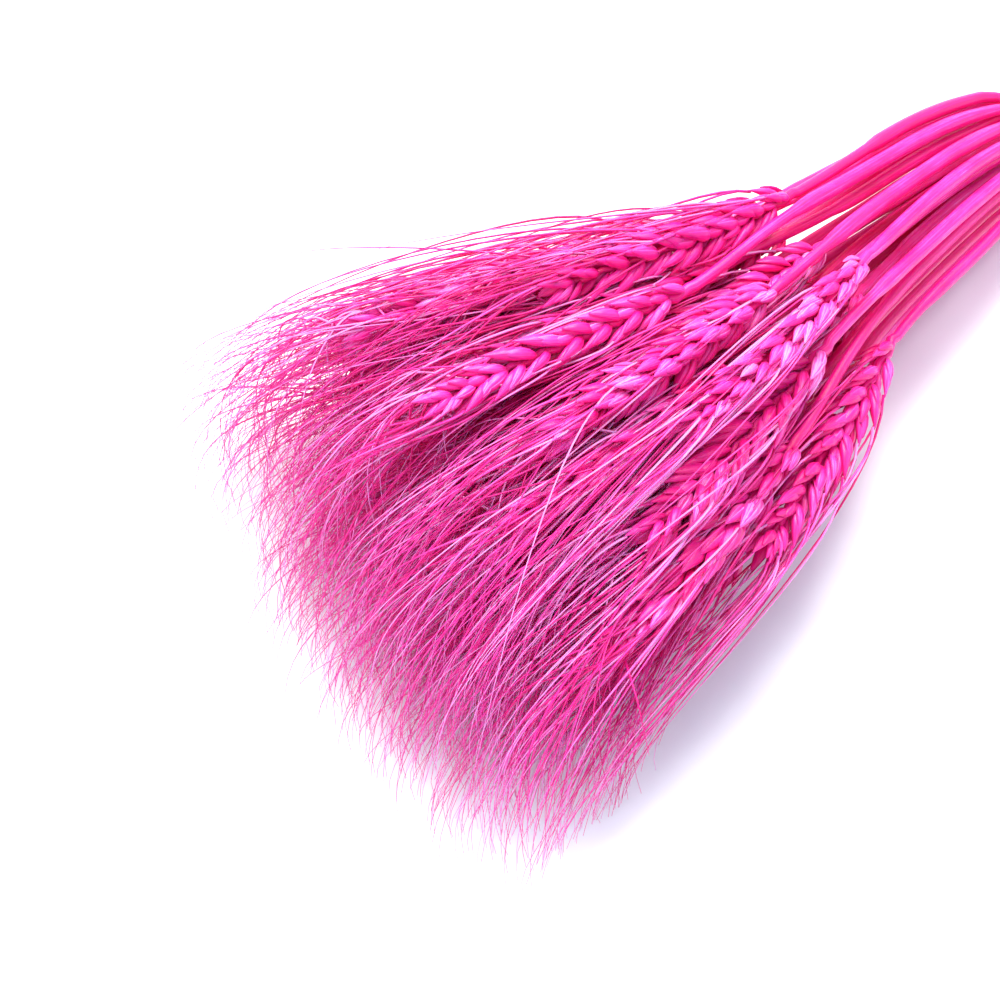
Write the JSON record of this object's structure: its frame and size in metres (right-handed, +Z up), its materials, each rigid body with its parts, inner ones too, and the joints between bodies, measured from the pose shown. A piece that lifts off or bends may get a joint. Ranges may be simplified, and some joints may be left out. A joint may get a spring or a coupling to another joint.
{
  "type": "wheat ear bunch",
  "caption": "Tied sheaf of dyed bearded wheat ears lying on its side, awns fanned out at one end and cut straws at the other; a dried decoration.",
  "frame": {"origin": "centre of the bounding box's bottom, on the surface that the sheaf lies on", "axes": "+X along the straws from the ears to the cut ends, +Z up, +Y to the side that the fan leans to"},
  "size_m": [0.4446, 0.1602, 0.0646],
  "materials": {
    "dyed_straw": "dry, satin, fibrous",
    "jute": "matte twisted fibre"
  },
  "bodies": {
    "root": {"stalk_01": "dyed_straw", "stalk_02": "dyed_straw", "stalk_03": "dyed_straw", "stalk_04": "dyed_straw", "stalk_05": "dyed_straw", "stalk_06": "dyed_straw", "stalk_07": "dyed_straw", "stalk_08": "dyed_straw", "stalk_09": "dyed_straw", "stalk_10": "dyed_straw", "stalk_11": "dyed_straw", "stalk_12": "dyed_straw", "stalk_13": "dyed_straw", "stalk_14": "dyed_straw", "stalk_15": "dyed_straw", "stalk_16": "dyed_straw", "stalk_17": "dyed_straw", "stalk_18": "dyed_straw", "stalk_19": "dyed_straw", "stalk_20": "dyed_straw", "stalk_21": "dyed_straw", "stalk_22": "dyed_straw", "stalk_23": "dyed_straw", "stalk_24": "dyed_straw", "stalk_25": "dyed_straw", "stalk_26": "dyed_straw", "stalk_27": "dyed_straw", "stalk_28": "dyed_straw", "stalk_29": "dyed_straw", "stalk_30": "dyed_straw", "stalk_31": "dyed_straw", "stalk_32": "dyed_straw", "stalk_33": "dyed_straw", "stalk_34": "dyed_straw", "stalk_35": "dyed_straw", "stalk_36": "dyed_straw", "stalk_37": "dyed_straw", "tie": "jute"}
  },
  "joints": []
}
